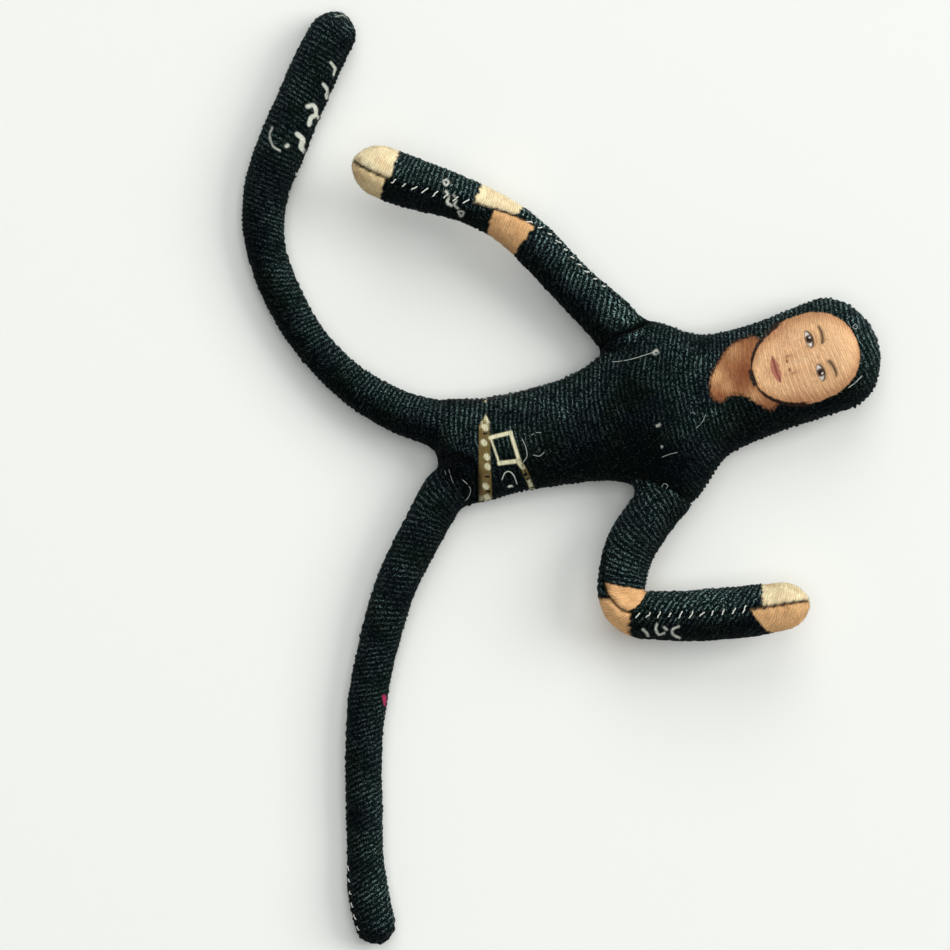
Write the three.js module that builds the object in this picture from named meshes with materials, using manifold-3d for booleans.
// A bendable stuffed doll, lying on its back with its face up. A knitted front panel and back
// panel are sewn together round the outline, filled with fibre and bent by a wire inside.
// Millimetres, +Z up. The origin is under the middle of the chest, on the surface it lies on.
// The wire bends at ten places. Each has a ball of stuffing that the limb turns about.

import * as THREE from 'three';
import { mergeVertices } from 'three/addons/utils/BufferGeometryUtils.js';
import Module from 'manifold-3d';

const wasm = await Module();
wasm.setup();

// Walls and clearances
const PANEL_THICKNESS = 1.0;
const SEAM_GAP = 0.3;
const STUFFING_GAP = 0.3;
const BALL_GAP = 0.15;
const SWING_GAP = 0.4;
const REST_FLAT = 0.5;

// Armature wire
const WIRE_RADIUS = 0.6;
const WIRE_GAP = 0.3;
const LOOP_RADIUS = 1.5;
const LOOP_LEAD_TURN = 70;
const LOOP_TURN = 300;
const LOOP_FROM_TIP = 7.5;
const CROSSING_LIFT = 1.8;
const LEG_WIRE_RISE = 8;
const SPINE_WIRE_TAIL = 5;

// Facets
const LIMB_SIDES = 10;
const TRUNK_SIDES = 16;
const LIMB_BALL = { sides: 10, rows: 7 };
const TRUNK_BALL = { sides: 16, rows: 10 };
const WIRE_SIDES = 6;
const RING_STEP = 10;
const WIRE_STEP = 10;
const EYE_STEP_TURN = 30;
const CROSSING_WIRE_STEPS = 6;
const TIP_STEPS = [0.5, 0.82, 0.97];

// The trunk, in its own frame: along the spine towards the head, and across to the right arm.
const SPINE_HEADING = 12.5;
const WAIST = { along: -28.3, across: -1.0 };
const NECK = { along: 20.4, across: 1.0 };
const RIGHT_SHOULDER = { along: -2.1, across: 18.2 };
const LEFT_SHOULDER = { along: -0.8, across: -20.2 };
const RIGHT_HIP = { along: -50.5, across: 8.2 };
const LEFT_HIP = { along: -50.8, across: -6.5 };
const WAIST_DEPTH = 15.0;
const NECK_DEPTH = 16.4;
const HIP_DEPTH = 13.6;
const SHOULDER_DEPTH = 15.0;
const WAIST_SIZE = { right: 11.4, left: 12.2 };
const NECK_SIZE = { right: 14.6, left: 12.8 };
const WAIST_BALL = 9.5;
const NECK_BALL = 10.0;

// Sections of the chest and of the hips: place along the spine, reach to each side, and depth.
// The one that closes has a wall over its end.
const CHEST_SECTIONS = [
  { along: WAIST.along, ...WAIST_SIZE, depth: WAIST_DEPTH },
  { along: -20, right: 11.9, left: 12.9, depth: 15.6 },
  { along: -10, right: 14.8, left: 14.9, depth: 16.4 },
  { along: -4, right: 18.5, left: 18.9, depth: 17.0 },
  { along: 2, right: 21.5, left: 24.3, depth: 17.0 },
  { along: 7, right: 20.2, left: 22.0, depth: 16.8 },
  { along: 11.5, right: 17.2, left: 17.6, depth: 16.5 },
  { along: 15.5, right: 15.2, left: 14.2, depth: 16.4 },
  { along: NECK.along, ...NECK_SIZE, depth: NECK_DEPTH },
];
const HIP_SECTIONS = [
  { along: WAIST.along, ...WAIST_SIZE, depth: WAIST_DEPTH },
  { along: -35, right: 11.5, left: 11.8, depth: 14.8 },
  { along: -41, right: 12.0, left: 12.2, depth: 14.8 },
  { along: -46, right: 13.2, left: 12.4, depth: 14.4 },
  { along: -50.5, right: 12.8, left: 12.2, depth: 13.2 },
  { along: -52.8, right: 8.0, left: 10.0, depth: 9.0, closes: true },
];

// The head: its path from the neck, its half widths and half depths, and its rounded crown
const HEAD = {
  name: 'head',
  heading: 16.5,
  arcs: [{ length: 36.5, turn: 5 }],
  halfWidths: [13.6, 13.1, 13.3, 13.6, 13.2],
  halfDepths: [8.2, 9.0, 9.6, 9.8, 9.4],
  tip: 11.0,
};

// The limbs. Each is a run of arcs from the joint it starts at, with its half widths at even
// steps. A limb either lies on the surface or ends at a height above it.
const RIGHT_UPPER_ARM = {
  name: 'right_upper_arm',
  heading: 129,
  arcs: [
    { length: 16.2, turn: 8 }, { length: 10.7, turn: -5 }, { length: 12.5, turn: 11 },
  ],
  radii: [6.0, 5.6, 5.1, 5.2, 5.0],
  endHeight: 12,
};
const RIGHT_FOREARM = {
  name: 'right_forearm',
  heading: 143,
  arcs: [
    { length: 5.6, turn: 8 }, { length: 7.2, turn: 7 }, { length: 7.2, turn: 6 },
    { length: 20.0, turn: -5 },
  ],
  radii: [5.0, 5.0, 5.6, 6.1, 5.7],
  endHeight: 18,
  tip: 6.5,
};
const LEFT_UPPER_ARM = {
  name: 'left_upper_arm',
  heading: -123,
  arcs: [
    { length: 5.7, turn: 0 }, { length: 6.9, turn: -1 }, { length: 7.2, turn: 19 },
    { length: 6.5, turn: 15 },
  ],
  radii: [6.0, 5.9, 6.0, 5.6, 5.5],
  endHeight: 11,
};
const LEFT_FOREARM = {
  name: 'left_forearm',
  heading: -85,
  arcs: [
    { length: 8.6, turn: 82 }, { length: 19.2, turn: 8 }, { length: 20.2, turn: 7 },
  ],
  radii: [5.5, 5.6, 6.0, 5.9, 5.4],
  endHeight: 13,
  tip: 6.0,
};
const RIGHT_THIGH = {
  name: 'right_thigh',
  heading: 162,
  arcs: [
    { length: 5.8, turn: 0 }, { length: 10.8, turn: -12 }, { length: 14.4, turn: -16 },
    { length: 17.8, turn: -18 }, { length: 10.8, turn: -11 },
  ],
  radii: [5.3, 4.9, 4.4, 4.2, 4.4, 4.5],
};
const RIGHT_SHIN = {
  name: 'right_shin',
  heading: 105,
  arcs: [
    { length: 7.2, turn: -11 }, { length: 7.0, turn: -12 }, { length: 7.2, turn: -12 },
    { length: 28.3, turn: -7 }, { length: 13.2, turn: -7 },
  ],
  radii: [4.5, 5.0, 5.7, 5.6, 5.6, 5.2],
  tip: 5.5,
};
const LEFT_THIGH = {
  name: 'left_thigh',
  heading: -120,
  arcs: [
    { length: 22.3, turn: 4 }, { length: 14.4, turn: 10 }, { length: 18.5, turn: 5 },
  ],
  radii: [5.3, 5.0, 4.8, 4.6, 4.5],
};
const LEFT_SHIN = {
  name: 'left_shin',
  heading: -101,
  arcs: [
    { length: 10.3, turn: 9 }, { length: 14.4, turn: 4 }, { length: 18.0, turn: 3 },
    { length: 10.8, turn: 11 }, { length: 6.2, turn: 0 },
  ],
  radii: [4.5, 4.2, 4.2, 4.1, 4.6, 4.6],
  tip: 4.8,
};

// How far each bend leaves room to move. A lean is how far the neck and the waist bend, either
// way. A swing is the fan of headings that a limb can point in from the trunk. A fold keeps a
// limb within two angles of its own direction at a knee or an elbow, clockwise and the other way.
const LEAN = 30;
const RIGHT_SHOULDER_SWING = [69, 159];
const LEFT_SHOULDER_SWING = [-143, -88];
const RIGHT_HIP_SWING = [117, 190];
const LEFT_HIP_SWING = [-147, -87];
const STRAIGHT_FOLD = { parent: [52, 52], child: [52, 52] };
const BENT_FOLD = { parent: [50, 52], child: [52, 105] };

// Reach of the cutting bodies, past the doll's longest limb
const FAR = 90;
const CONE_SIDES = 18;
const LIFT_SIDES = 12;

const UP = new THREE.Vector3(0, 0, 1);
const radians = (degrees) => THREE.MathUtils.degToRad(degrees);

// Materials
const knit = new THREE.MeshStandardMaterial({ color: 0x1f2426, roughness: 0.95, flatShading: true });
const lining = new THREE.MeshStandardMaterial({ color: 0x2b3032, roughness: 0.95, flatShading: true });
const fibre = new THREE.MeshStandardMaterial({ color: 0xeeece6, roughness: 1.0, flatShading: true });
const steel = new THREE.MeshStandardMaterial({ color: 0xb9b9b6, roughness: 0.4, metalness: 0.8 });

// Solids and meshes
function solid(geometry) {
  const bare = new THREE.BufferGeometry();
  bare.setAttribute('position', geometry.getAttribute('position'));
  bare.setIndex(geometry.getIndex());
  const merged = mergeVertices(bare, 1e-5);
  return new wasm.Manifold(new wasm.Mesh({
    numProp: 3,
    vertProperties: new Float32Array(merged.getAttribute('position').array),
    triVerts: new Uint32Array(merged.getIndex().array),
  }));
}

function cut(body, cutters) {
  return cutters.reduce((left, cutter) => left.subtract(cutter), body);
}

function mesh(name, body, material) {
  const { vertProperties, triVerts } = body.getMesh();
  const geometry = new THREE.BufferGeometry();
  geometry.setAttribute('position', new THREE.BufferAttribute(vertProperties, 3));
  geometry.setIndex(new THREE.BufferAttribute(triVerts, 1));
  geometry.computeVertexNormals();
  const piece = new THREE.Mesh(geometry, material);
  piece.name = name;
  return piece;
}

// Joins rings of equally many points into a closed skin, with a fan over each end ring.
function skin(rings) {
  const count = rings[0].length;
  const points = rings.flat();
  const faces = [];
  for (let r = 0; r + 1 < rings.length; r += 1) {
    for (let i = 0; i < count; i += 1) {
      const a = r * count + i;
      const b = r * count + (i + 1) % count;
      faces.push(a, b + count, b, a, a + count, b + count);
    }
  }
  const last = (rings.length - 1) * count;
  for (let i = 1; i + 1 < count; i += 1) {
    faces.push(0, i, i + 1, last, last + i + 1, last + i);
  }
  const geometry = new THREE.BufferGeometry();
  geometry.setAttribute('position', new THREE.Float32BufferAttribute(points.flatMap((p) => [p.x, p.y, p.z]), 3));
  geometry.setIndex(faces);
  return solid(geometry);
}

// A station is one section of a stuffed form: centre, across and up directions, and half sizes.
// A ring goes round it from across, over the top. Half rings stop at the seam, level with the
// centre, and stand half a seam gap away from it.
function ring(station, sides, half = 0) {
  const points = [];
  const count = half === 0 ? sides : sides / 2 + 1;
  for (let i = 0; i < count; i += 1) {
    const angle = (half < 0 ? Math.PI : 0) + (2 * Math.PI * i) / sides;
    const side = station.width * Math.cos(angle);
    const lift = station.height * Math.sin(angle);
    const clear = half * Math.max(half * lift, SEAM_GAP / 2);
    points.push(station.centre.clone()
      .addScaledVector(station.across, side)
      .addScaledVector(station.up, half === 0 ? lift : clear));
  }
  return points;
}

const loft = (stations, sides, half) => skin(stations.map((station) => ring(station, sides, half)));

// Even values along a length, read as a smooth curve through them
function profile(values, share) {
  const curve = new THREE.SplineCurve(values.map((value, i) => new THREE.Vector2(i, value)));
  return curve.getPoint(THREE.MathUtils.clamp(share, 0, 1)).y;
}

// Follows a run of arcs and gives the place and heading at a distance along it.
function followArcs(start, heading, arcs, distance) {
  let x = start.x;
  let y = start.y;
  let angle = radians(heading);
  let left = distance;
  for (const { length, turn } of arcs) {
    const run = Math.min(left, length);
    const bend = (radians(turn) * run) / length;
    const chord = Math.abs(bend) < 1e-9 ? run : (2 * run * Math.sin(bend / 2)) / bend;
    x += chord * Math.cos(angle + bend / 2);
    y += chord * Math.sin(angle + bend / 2);
    angle += bend;
    left -= run;
    if (left <= 0) break;
  }
  return { x, y, angle };
}

const sum = (values) => values.reduce((total, value) => total + value, 0);
const lengthOf = (limb) => sum(limb.arcs.map(({ length }) => length));
const smooth = (share) => share * share * (3 - 2 * share);
const turned = (angle) => new THREE.Vector3(Math.cos(angle), Math.sin(angle), 0);

// Half width and half depth of a limb or the head at a share of its length
function halfSizes(limb, share) {
  const width = profile(limb.radii ?? limb.halfWidths, share);
  return { width, height: limb.radii ? width : profile(limb.halfDepths, share) };
}

// Where the middle of a limb is at a distance from its first joint
function limbPoint(limb, start, distance) {
  const share = distance / lengthOf(limb);
  const { x, y, angle } = followArcs(start, limb.heading, limb.arcs, distance);
  const end = limb.endHeight ?? halfSizes(limb, share).height - REST_FLAT;
  const z = THREE.MathUtils.lerp(start.z, end, smooth(Math.min(share, 1)));
  return { place: new THREE.Vector3(x, y, z), angle };
}

// Sections along a limb, pulled in all round by an inset. A limb with a tip is rounded there.
function limbStations(limb, start, inset) {
  const length = lengthOf(limb);
  const tip = limb.tip ?? 0;
  const steps = Math.ceil((length - tip) / RING_STEP);
  const spots = [];
  for (let i = 0; i <= steps; i += 1) {
    spots.push([((length - tip) * i) / steps, 1]);
  }
  if (tip > 0) {
    for (const share of TIP_STEPS) {
      spots.push([length - tip + (tip - inset) * share, Math.sqrt(1 - share * share)]);
    }
  }
  return spots.map(([distance, rounding]) => {
    const { place, angle } = limbPoint(limb, start, distance);
    const { width, height } = halfSizes(limb, distance / length);
    return {
      centre: place,
      across: turned(angle - Math.PI / 2),
      up: UP,
      width: (width - inset) * rounding,
      height: (height - inset) * rounding,
    };
  });
}

// Places in the trunk's frame, and its sections
function trunkPoint({ along, across }, height) {
  const ahead = turned(radians(SPINE_HEADING)).multiplyScalar(along);
  const aside = turned(radians(SPINE_HEADING + 90)).multiplyScalar(across);
  return ahead.add(aside).setZ(height);
}

function trunkStations(sections, inset) {
  return sections.map(({ along, right, left, depth, closes }) => ({
    centre: trunkPoint(
      { along: along + (closes ? inset : 0), across: (right - left) / 2 },
      depth / 2 - REST_FLAT,
    ),
    across: turned(radians(SPINE_HEADING - 90)),
    up: UP,
    width: (right + left) / 2 - inset,
    height: depth / 2 - inset,
  }));
}

// Cutting bodies
function ball(place, radius, { sides, rows }) {
  const geometry = new THREE.SphereGeometry(radius, sides, rows);
  geometry.rotateX(Math.PI / 2);
  geometry.translate(place.x, place.y, place.z);
  return solid(geometry);
}

function underside() {
  const geometry = new THREE.BoxGeometry(4 * FAR, 4 * FAR, FAR);
  geometry.translate(0, 0, -FAR / 2);
  return solid(geometry);
}

// An upright prism over an outline
function prism(corners) {
  const geometry = new THREE.ExtrudeGeometry(new THREE.Shape(corners), { depth: FAR, bevelEnabled: false });
  geometry.translate(0, 0, -FAR / 2);
  return solid(geometry);
}

const corner = (place, angle, reach) => new THREE.Vector2(
  place.x + reach * Math.cos(angle),
  place.y + reach * Math.sin(angle),
);

// A wide cone with its point on a joint, which keeps what leans away from the other side
function leanCone(place, heading) {
  const spread = radians(90 - LEAN / 2);
  const geometry = new THREE.ConeGeometry(FAR * Math.tan(spread), FAR, CONE_SIDES);
  geometry.translate(0, -FAR / 2, 0);
  geometry.rotateZ(radians(heading + 90));
  geometry.translate(place.x, place.y, place.z);
  return solid(geometry);
}

// A wedge with its edge upright through a joint, which keeps what a fold leaves of a limb
function foldWedge(place, heading, [clockwise, other]) {
  const angle = radians(heading);
  return prism([
    corner(place, 0, 0),
    corner(place, angle - radians(clockwise), FAR),
    corner(place, angle, 2 * FAR),
    corner(place, angle + radians(other), FAR),
  ]);
}

// The hollow that a ball turns in. Its facets lie outside the ball's corners.
function socket(place, radius, facets) {
  const facetDepth = Math.cos(Math.PI / facets.sides) * Math.cos(Math.PI / (2 * facets.rows));
  return ball(place, (radius + BALL_GAP) / facetDepth, facets);
}

// The room that a limb of some radius needs in front of its joint when it is lifted
function liftRoom(place, radius) {
  const clear = (radius + SWING_GAP) / Math.cos(Math.PI / LIFT_SIDES);
  const geometry = new THREE.CylinderGeometry(clear, clear, FAR, LIFT_SIDES);
  geometry.rotateX(Math.PI / 2);
  geometry.translate(place.x, place.y, place.z + FAR / 2);
  return solid(geometry);
}

// The room that it needs beside the trunk to swing through a fan of headings
function swingRoom(place, [first, last], radius) {
  const low = radians(first);
  const high = radians(last);
  const clear = radius + SWING_GAP;
  const edge = (angle, side) => {
    const foot = corner(place, angle + side * (Math.PI / 2), clear);
    return [foot, corner(foot, angle, FAR)];
  };
  const [lowFoot, lowEnd] = edge(low, -1);
  const [highFoot, highEnd] = edge(high, 1);
  const furthest = corner(place, (low + high) / 2, (FAR + clear) / Math.cos((high - low) / 2));
  return prism([lowFoot, lowEnd, furthest, highEnd, highFoot]);
}

// Wires
function wireTube(points, radius) {
  const stations = points.map((point, i) => {
    const ahead = points[Math.min(i + 1, points.length - 1)].clone().sub(points[Math.max(i - 1, 0)]).normalize();
    const across = new THREE.Vector3().crossVectors(ahead, UP).normalize();
    return {
      centre: point,
      across,
      up: new THREE.Vector3().crossVectors(across, ahead),
      width: radius,
      height: radius,
    };
  });
  return loft(stations, WIRE_SIDES, 0);
}

// The wire along a limb. At a tip it turns aside and comes round in an eye.
function limbWire(limb, start) {
  const length = lengthOf(limb) - (limb.tip ? LOOP_FROM_TIP : 0);
  const steps = Math.ceil(length / WIRE_STEP);
  const run = [];
  for (let i = 0; i <= steps; i += 1) {
    run.push(limbPoint(limb, start, (length * i) / steps).place);
  }
  if (!limb.tip) return { run };
  const { place, angle } = limbPoint(limb, start, length);
  const lead = { length: LOOP_RADIUS * radians(LOOP_LEAD_TURN), turn: -LOOP_LEAD_TURN };
  const loop = { length: LOOP_RADIUS * radians(LOOP_TURN), turn: LOOP_TURN };
  const heading = THREE.MathUtils.radToDeg(angle);
  const at = (distance) => followArcs(place, heading, [lead, loop], distance);
  const lift = ({ x, y }) => new THREE.Vector3(x, y, place.z);
  const turnAside = [0.5, 1].map((share) => lift(at(lead.length * share)));
  const eyeSteps = Math.ceil(LOOP_TURN / EYE_STEP_TURN);
  const eye = [];
  for (let i = 1; i <= eyeSteps; i += 1) {
    eye.push(lift(at(lead.length + (loop.length * i) / eyeSteps)));
  }
  const side = at(lead.length);
  const centre = turned(side.angle + Math.PI / 2).multiplyScalar(LOOP_RADIUS).add(lift(side));
  return { run: [...run, ...turnAside], eye, centre };
}

// The pocket in the stuffing that a wire's eye lies in
function eyePocket(centre) {
  const clear = WIRE_RADIUS + WIRE_GAP;
  const geometry = new THREE.CylinderGeometry(LOOP_RADIUS + clear, LOOP_RADIUS + clear, 2 * clear, CONE_SIDES / 2);
  geometry.rotateX(Math.PI / 2);
  geometry.translate(centre.x, centre.y, centre.z);
  return solid(geometry);
}

// Joints
const waist = trunkPoint(WAIST, WAIST_DEPTH / 2 - REST_FLAT);
const neck = trunkPoint(NECK, NECK_DEPTH / 2 - REST_FLAT);
const rightShoulder = trunkPoint(RIGHT_SHOULDER, SHOULDER_DEPTH / 2 - REST_FLAT);
const leftShoulder = trunkPoint(LEFT_SHOULDER, SHOULDER_DEPTH / 2 - REST_FLAT);
const rightHip = trunkPoint(RIGHT_HIP, HIP_DEPTH / 2 - REST_FLAT);
const leftHip = trunkPoint(LEFT_HIP, HIP_DEPTH / 2 - REST_FLAT);
const endOf = (limb, start) => limbPoint(limb, start, lengthOf(limb)).place;
const endHeading = (limb) => limb.heading + sum(limb.arcs.map(({ turn }) => turn));
const rightElbow = endOf(RIGHT_UPPER_ARM, rightShoulder);
const leftElbow = endOf(LEFT_UPPER_ARM, leftShoulder);
const rightKnee = endOf(RIGHT_THIGH, rightHip);
const leftKnee = endOf(LEFT_THIGH, leftHip);

const startRadius = (limb) => limb.radii[0];
const endRadius = (limb) => limb.radii[limb.radii.length - 1];
const limbBall = (limb) => startRadius(limb) + BALL_GAP;
const limbSocket = (place, radius) => socket(place, radius, LIMB_BALL);

const floor = underside();
const doll = new THREE.Group();

// The front panel, back panel and stuffing of one stuffed form, cut to its neighbours
function addStuffedForm(name, stationsAt, sides, keep, cutters, bores) {
  const hollow = loft(stationsAt(PANEL_THICKNESS), sides, 0);
  const trim = (body) => cut(keep.reduce((left, region) => left.intersect(region), body), [...cutters, floor]);
  for (const [label, half] of [['front_panel', 1], ['back_panel', -1]]) {
    doll.add(mesh(`${name}_${label}`, trim(loft(stationsAt(0), sides, half).subtract(hollow)), knit));
  }
  const filling = loft(stationsAt(PANEL_THICKNESS + STUFFING_GAP), sides, 0);
  doll.add(mesh(`${name}_stuffing`, cut(trim(filling), bores), fibre));
}

function addWire(name, body, ends) {
  doll.add(mesh(name, cut(body, ends), steel));
}

// A ball of stuffing, flattened by the panels where it is wider than the doll is deep
function addBall(name, place, radius, facets, depth = 2 * radius + 1) {
  const slab = new THREE.BoxGeometry(3 * radius, 3 * radius, depth);
  slab.translate(place.x, place.y, place.z);
  doll.add(mesh(name, cut(ball(place, radius, facets).intersect(solid(slab)), [floor]), lining));
}

// A wire that crosses in front of the spine wire, on a smooth curve through its middle
function crossingWire(first, middle, last) {
  const control = middle.clone().multiplyScalar(2).addScaledVector(first, -0.5).addScaledVector(last, -0.5);
  return new THREE.QuadraticBezierCurve3(first, control, last).getPoints(CROSSING_WIRE_STEPS);
}

const bore = (points) => wireTube(points, WIRE_RADIUS + WIRE_GAP);
const backwards = (heading) => heading + 180;

// A limb from its first joint, on to the next joint or to its rounded tip
function addLimb(limb, start, startCut, next) {
  const sockets = [limbSocket(start, startCut.radius)];
  const keep = startCut.keep ? [foldWedge(start, limb.heading, startCut.keep)] : [];
  if (next) {
    sockets.push(limbSocket(next.place, next.radius));
    keep.push(foldWedge(next.place, backwards(endHeading(limb)), next.keep));
  }
  const wire = limbWire(limb, start);
  const bores = [bore(wire.run)];
  if (wire.eye) bores.push(eyePocket(wire.centre));
  addStuffedForm(limb.name, (inset) => limbStations(limb, start, inset), LIMB_SIDES, keep, sockets, bores);
  addWire(`${limb.name}_wire`, wireTube([...wire.run, ...(wire.eye ?? [])], WIRE_RADIUS), sockets);
}

// Balls of stuffing at the bends
addBall('waist_ball', waist, WAIST_BALL, TRUNK_BALL, WAIST_DEPTH - 2 * PANEL_THICKNESS);
addBall('neck_ball', neck, NECK_BALL, TRUNK_BALL, NECK_DEPTH - 2 * PANEL_THICKNESS);
for (const [side, shoulder, elbow, hip, knee, upperArm, thigh] of [
  ['right', rightShoulder, rightElbow, rightHip, rightKnee, RIGHT_UPPER_ARM, RIGHT_THIGH],
  ['left', leftShoulder, leftElbow, leftHip, leftKnee, LEFT_UPPER_ARM, LEFT_THIGH],
]) {
  addBall(`${side}_shoulder_ball`, shoulder, limbBall(upperArm), LIMB_BALL);
  addBall(`${side}_elbow_ball`, elbow, endRadius(upperArm), LIMB_BALL);
  addBall(`${side}_hip_ball`, hip, limbBall(thigh), LIMB_BALL);
  addBall(`${side}_knee_ball`, knee, endRadius(thigh), LIMB_BALL);
}

// Arms and legs
for (const [upper, lower, start, middle, fold] of [
  [RIGHT_UPPER_ARM, RIGHT_FOREARM, rightShoulder, rightElbow, STRAIGHT_FOLD],
  [LEFT_UPPER_ARM, LEFT_FOREARM, leftShoulder, leftElbow, BENT_FOLD],
  [RIGHT_THIGH, RIGHT_SHIN, rightHip, rightKnee, STRAIGHT_FOLD],
  [LEFT_THIGH, LEFT_SHIN, leftHip, leftKnee, STRAIGHT_FOLD],
]) {
  const middleRadius = endRadius(upper);
  addLimb(upper, start, { radius: limbBall(upper) }, { place: middle, radius: middleRadius, keep: fold.parent });
  addLimb(lower, middle, { radius: middleRadius, keep: fold.child });
}

// Chest, with the spine wire and the arm wire that crosses in front of it
const waistSocket = socket(waist, WAIST_BALL, TRUNK_BALL);
const neckSocket = socket(neck, NECK_BALL, TRUNK_BALL);
const shoulderSockets = [
  limbSocket(rightShoulder, limbBall(RIGHT_UPPER_ARM)),
  limbSocket(leftShoulder, limbBall(LEFT_UPPER_ARM)),
];
const chestSpine = [waist, neck];
const armWireMiddle = trunkPoint({ along: 0, across: 0 }, (waist.z + neck.z) / 2 + CROSSING_LIFT);
const armWire = crossingWire(rightShoulder, armWireMiddle, leftShoulder);
addStuffedForm(
  'chest',
  (inset) => trunkStations(CHEST_SECTIONS, inset),
  TRUNK_SIDES,
  [leanCone(waist, SPINE_HEADING), leanCone(neck, backwards(SPINE_HEADING))],
  [
    waistSocket,
    neckSocket,
    ...shoulderSockets,
    swingRoom(rightShoulder, RIGHT_SHOULDER_SWING, startRadius(RIGHT_UPPER_ARM)),
    swingRoom(leftShoulder, LEFT_SHOULDER_SWING, startRadius(LEFT_UPPER_ARM)),
    liftRoom(rightShoulder, startRadius(RIGHT_UPPER_ARM)),
    liftRoom(leftShoulder, startRadius(LEFT_UPPER_ARM)),
  ],
  [bore(chestSpine), bore(armWire)],
);
addWire('chest_spine_wire', wireTube(chestSpine, WIRE_RADIUS), [waistSocket, neckSocket]);
addWire('chest_arm_wire', wireTube(armWire, WIRE_RADIUS), shoulderSockets);

// Hips, with the lower end of the spine wire and the leg wire that arches over it
const hipSockets = [
  limbSocket(rightHip, limbBall(RIGHT_THIGH)),
  limbSocket(leftHip, limbBall(LEFT_THIGH)),
];
const crotch = (RIGHT_HIP.along + LEFT_HIP.along) / 2;
const spineTail = trunkPoint({ along: crotch + SPINE_WIRE_TAIL, across: 0 }, waist.z);
const hipSpine = [waist, spineTail];
const legWireMiddle = trunkPoint({ along: crotch + LEG_WIRE_RISE, across: 0 }, waist.z + CROSSING_LIFT);
const legWire = crossingWire(rightHip, legWireMiddle, leftHip);
addStuffedForm(
  'hips',
  (inset) => trunkStations(HIP_SECTIONS, inset).reverse(),
  TRUNK_SIDES,
  [leanCone(waist, backwards(SPINE_HEADING))],
  [
    waistSocket,
    ...hipSockets,
    swingRoom(rightHip, RIGHT_HIP_SWING, startRadius(RIGHT_THIGH)),
    swingRoom(leftHip, LEFT_HIP_SWING, startRadius(LEFT_THIGH)),
    liftRoom(rightHip, startRadius(RIGHT_THIGH)),
    liftRoom(leftHip, startRadius(LEFT_THIGH)),
  ],
  [bore(hipSpine), bore(legWire)],
);
addWire('hips_spine_wire', wireTube(hipSpine, WIRE_RADIUS), [waistSocket]);
addWire('hips_leg_wire', wireTube(legWire, WIRE_RADIUS), hipSockets);

// Head, with the upper end of the spine wire
const headWire = limbWire(HEAD, neck);
addStuffedForm(
  HEAD.name,
  (inset) => limbStations(HEAD, neck, inset),
  TRUNK_SIDES,
  [leanCone(neck, HEAD.heading)],
  [neckSocket],
  [bore(headWire.run), eyePocket(headWire.centre)],
);
addWire('head_spine_wire', wireTube([...headWire.run, ...headWire.eye], WIRE_RADIUS), [neckSocket]);

export default doll;
